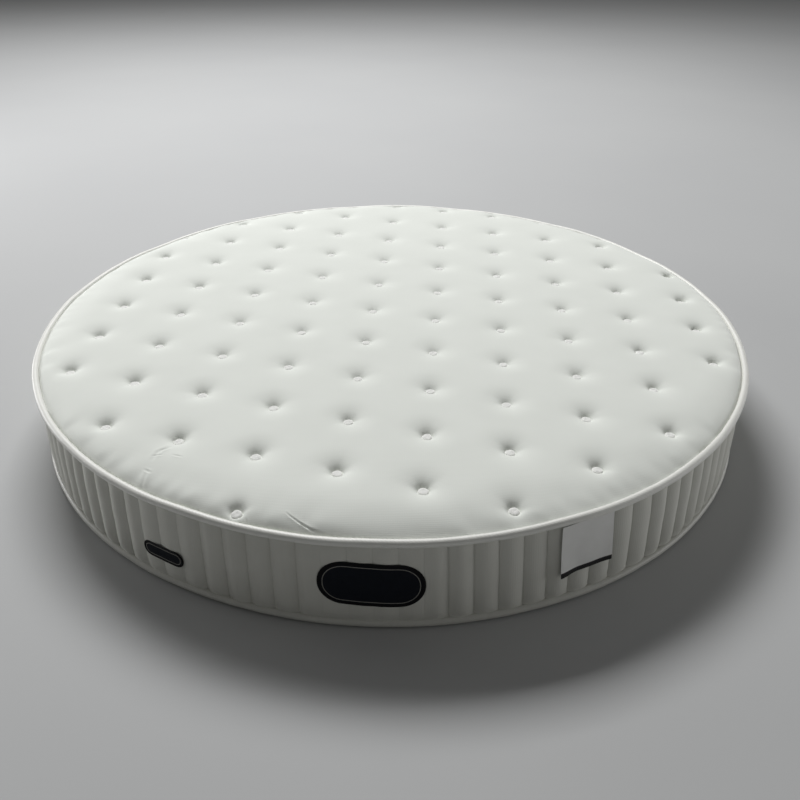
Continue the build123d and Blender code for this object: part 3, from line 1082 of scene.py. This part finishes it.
def base_cloth():
    """Flat underside, turned up and gathered to the bottom piping."""
    flat_radius = rim_radius - base_inset
    # Radius and height of each ring, from the middle outwards, up the turned edge and back inside
    rings = [
        (0.25 * flat_radius, 0.0), (0.6 * flat_radius, 0.0), (0.9 * flat_radius, 0.0),
        (flat_radius - 0.004, 0.0),
        (flat_radius + 0.004, 0.0006), (flat_radius + 0.012, 0.0021), (flat_radius + 0.020, 0.0040),
        (rim_radius - 0.0025, 0.0062), (rim_radius, 0.0085), (rim_radius, base_high.z),
        (0.9 * flat_radius, base_high.z), (0.4 * flat_radius, base_high.z),
    ]
    points = [(0, 0, 0)]
    for number, (radius, z) in enumerate(rings):
        for k in range(base_sides):
            turn = 2 * pi * k / base_sides
            gather = base_gather * noise.noise(Vector((turn * 40, 2.0, 0))) if 4 <= number <= 7 else 0
            points.append((radius * cos(turn), radius * sin(turn), z + abs(gather)))
    points.append((0, 0, base_high.z))
    faces = [(0, 1 + (k + 1) % base_sides, 1 + k) for k in range(base_sides)]
    starts = [1 + number * base_sides for number in range(len(rings))]
    for low, high in zip(starts, starts[1:]):
        faces += band(low, high, base_sides)
    top = starts[-1]
    faces += [(top + k, top + (k + 1) % base_sides, len(points) - 1) for k in range(base_sides)]
    piece = new_piece("base_cloth", points, faces)
    cloth = fibrous("spunbonded_base_cloth", "cbccc8", "dadbd6", 0.0015, 0.0002, 0.85)
    finish_piece(piece, "mattress", (cloth,), ("bottom_panel",))


# Pieces inside, carried over from the frame

def dress_inside():
    """Materials for the nodes that the cover hides."""
    pocket = fibrous("spunbonded_pocket_cloth", "e4e6e6", "f3f4f4", 0.0012, 0.0002, 0.8)
    felt = fibrous("recycled_fibre_pad", "6c6d70", "a5a5a4", 0.0025, 0.0006, 0.95)
    soft_foam = fibrous("open_cell_soft_foam", "eceadb", "f6f4ea", 0.0009, 0.0004, 0.9)
    firm_foam = fibrous("open_cell_firm_foam", "d9dfe6", "e9edf1", 0.0011, 0.0004, 0.9)
    finishes = {
        "tuft_cords": thread_cord(), "tuft_anchors": moulded_plastic(), "top_comfort_foam": soft_foam,
        "edge_foam_ring": firm_foam, "top_insulator": felt, "bottom_insulator": felt,
    }
    for name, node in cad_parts.items():
        finish = pocket if name.startswith("spring_string") else finishes.get(name)
        if finish:
            node.data.materials.clear()
            node.data.materials.append(finish)


# Camera, light and floor

def camera():
    """The photograph's camera, worked out from the rim circle and the tufts."""
    frame_pixels = 800
    focal_pixels = 798.8046
    pitch = 0.5570797
    roll = 0.0017645
    lean_x, lean_y = 0.0036309, 0.0054106
    middle = Vector((-0.0237102, 2.1545129, -1.0486187))      # of the top edge, from a level camera
    lean = (Matrix.Rotation(lean_x, 3, "X") @ Matrix.Rotation(lean_y, 3, "Y")).transposed()
    forward = lean @ Vector((0, cos(pitch), -sin(pitch)))
    level_up = lean @ Vector((0, sin(pitch), cos(pitch)))
    level_right = lean @ Vector((1, 0, 0))
    right = cos(roll) * level_right + sin(roll) * level_up
    up = cos(roll) * level_up - sin(roll) * level_right
    data = bpy.data.cameras.new("camera")
    data.sensor_width = 36
    data.lens = focal_pixels / frame_pixels * data.sensor_width
    data.clip_end = 100
    made = bpy.data.objects.new("camera", data)
    scene.collection.objects.link(made)
    turned = Matrix((right, up, -forward)).transposed().to_4x4()
    made.matrix_world = Matrix.Translation(lean @ -middle + Vector((0, 0, top_piping_z))) @ turned
    scene.camera = made


def area_light(name, place, aim, size, power, colour="ffffff"):
    """Rectangular light that the camera doesn't see, aimed at a point."""
    data = bpy.data.lights.new(name, "AREA")
    data.shape = "RECTANGLE"
    data.size, data.size_y = size
    data.energy = power
    data.color = linear(colour)[:3]
    lamp = bpy.data.objects.new(name, data)
    lamp.location = place
    lamp.rotation_mode = "QUATERNION"
    lamp.rotation_quaternion = (Vector(aim) - Vector(place)).to_track_quat("-Z", "Y")
    lamp.visible_camera = False
    scene.collection.objects.link(lamp)


def studio():
    """Pale floor, one large light over the back of the mattress, weak low panels at its sides."""
    bpy.ops.object.select_all(action="DESELECT")
    bpy.ops.mesh.primitive_grid_add(x_subdivisions=12, y_subdivisions=12, size=60, location=(0, 0, -0.0005))
    ground = bpy.context.object
    ground.name = "floor"
    bpy.ops.object.transform_apply(location=True)
    ground.data.materials.append(studio_floor())
    area_light("over_back", (-1.7, 5.4, 7.1), (0.0, 0.0, 0.2), (5.0, 2.6), 785)
    area_light("left_panel", (-4.6, 1.6, 0.5), (0.0, -0.3, 0.1), (2.4, 0.8), 76)
    area_light("right_panel", (4.6, 0.9, 0.5), (0.0, -0.3, 0.1), (2.4, 0.8), 22)
    area_light("right_front_panel", (4.6, -1.2, 0.6), (0.0, -0.3, 0.1), (1.6, 1.0), 18)
    world = bpy.data.worlds.new("studio")
    world.use_nodes = True
    background = world.node_tree.nodes["Background"]
    background.inputs["Color"].default_value = linear("eeeeec")
    background.inputs["Strength"].default_value = 0.13
    scene.world = world
    scene.view_settings.view_transform = "Standard"


camera()
top_cover()
tuft_buttons()
white_tape = piping_cloth("white_bias_tape_piping", "e4e4de", "efefea")
# Darker copy of the piping tape for the bottom piping: its greyer colours are painted shade for the shade
# low down on the side
painted_shade_tape = piping_cloth("bias_tape_piping_painted_shade", "c8c8c1", "d5d5ce")
piping("top_piping_welt", top_piping_z, 1.0, "top_piping", white_tape)
piping("bottom_piping_welt", bottom_piping_z, bottom_wave_share, "bottom_piping", painted_shade_tape)
border_band()
sewn_label("main_label_woven", main_label, "main_label")
sewn_label("small_label_woven", small_label, "small_label")
care_flap()
base_cloth()
dress_inside()
studio()
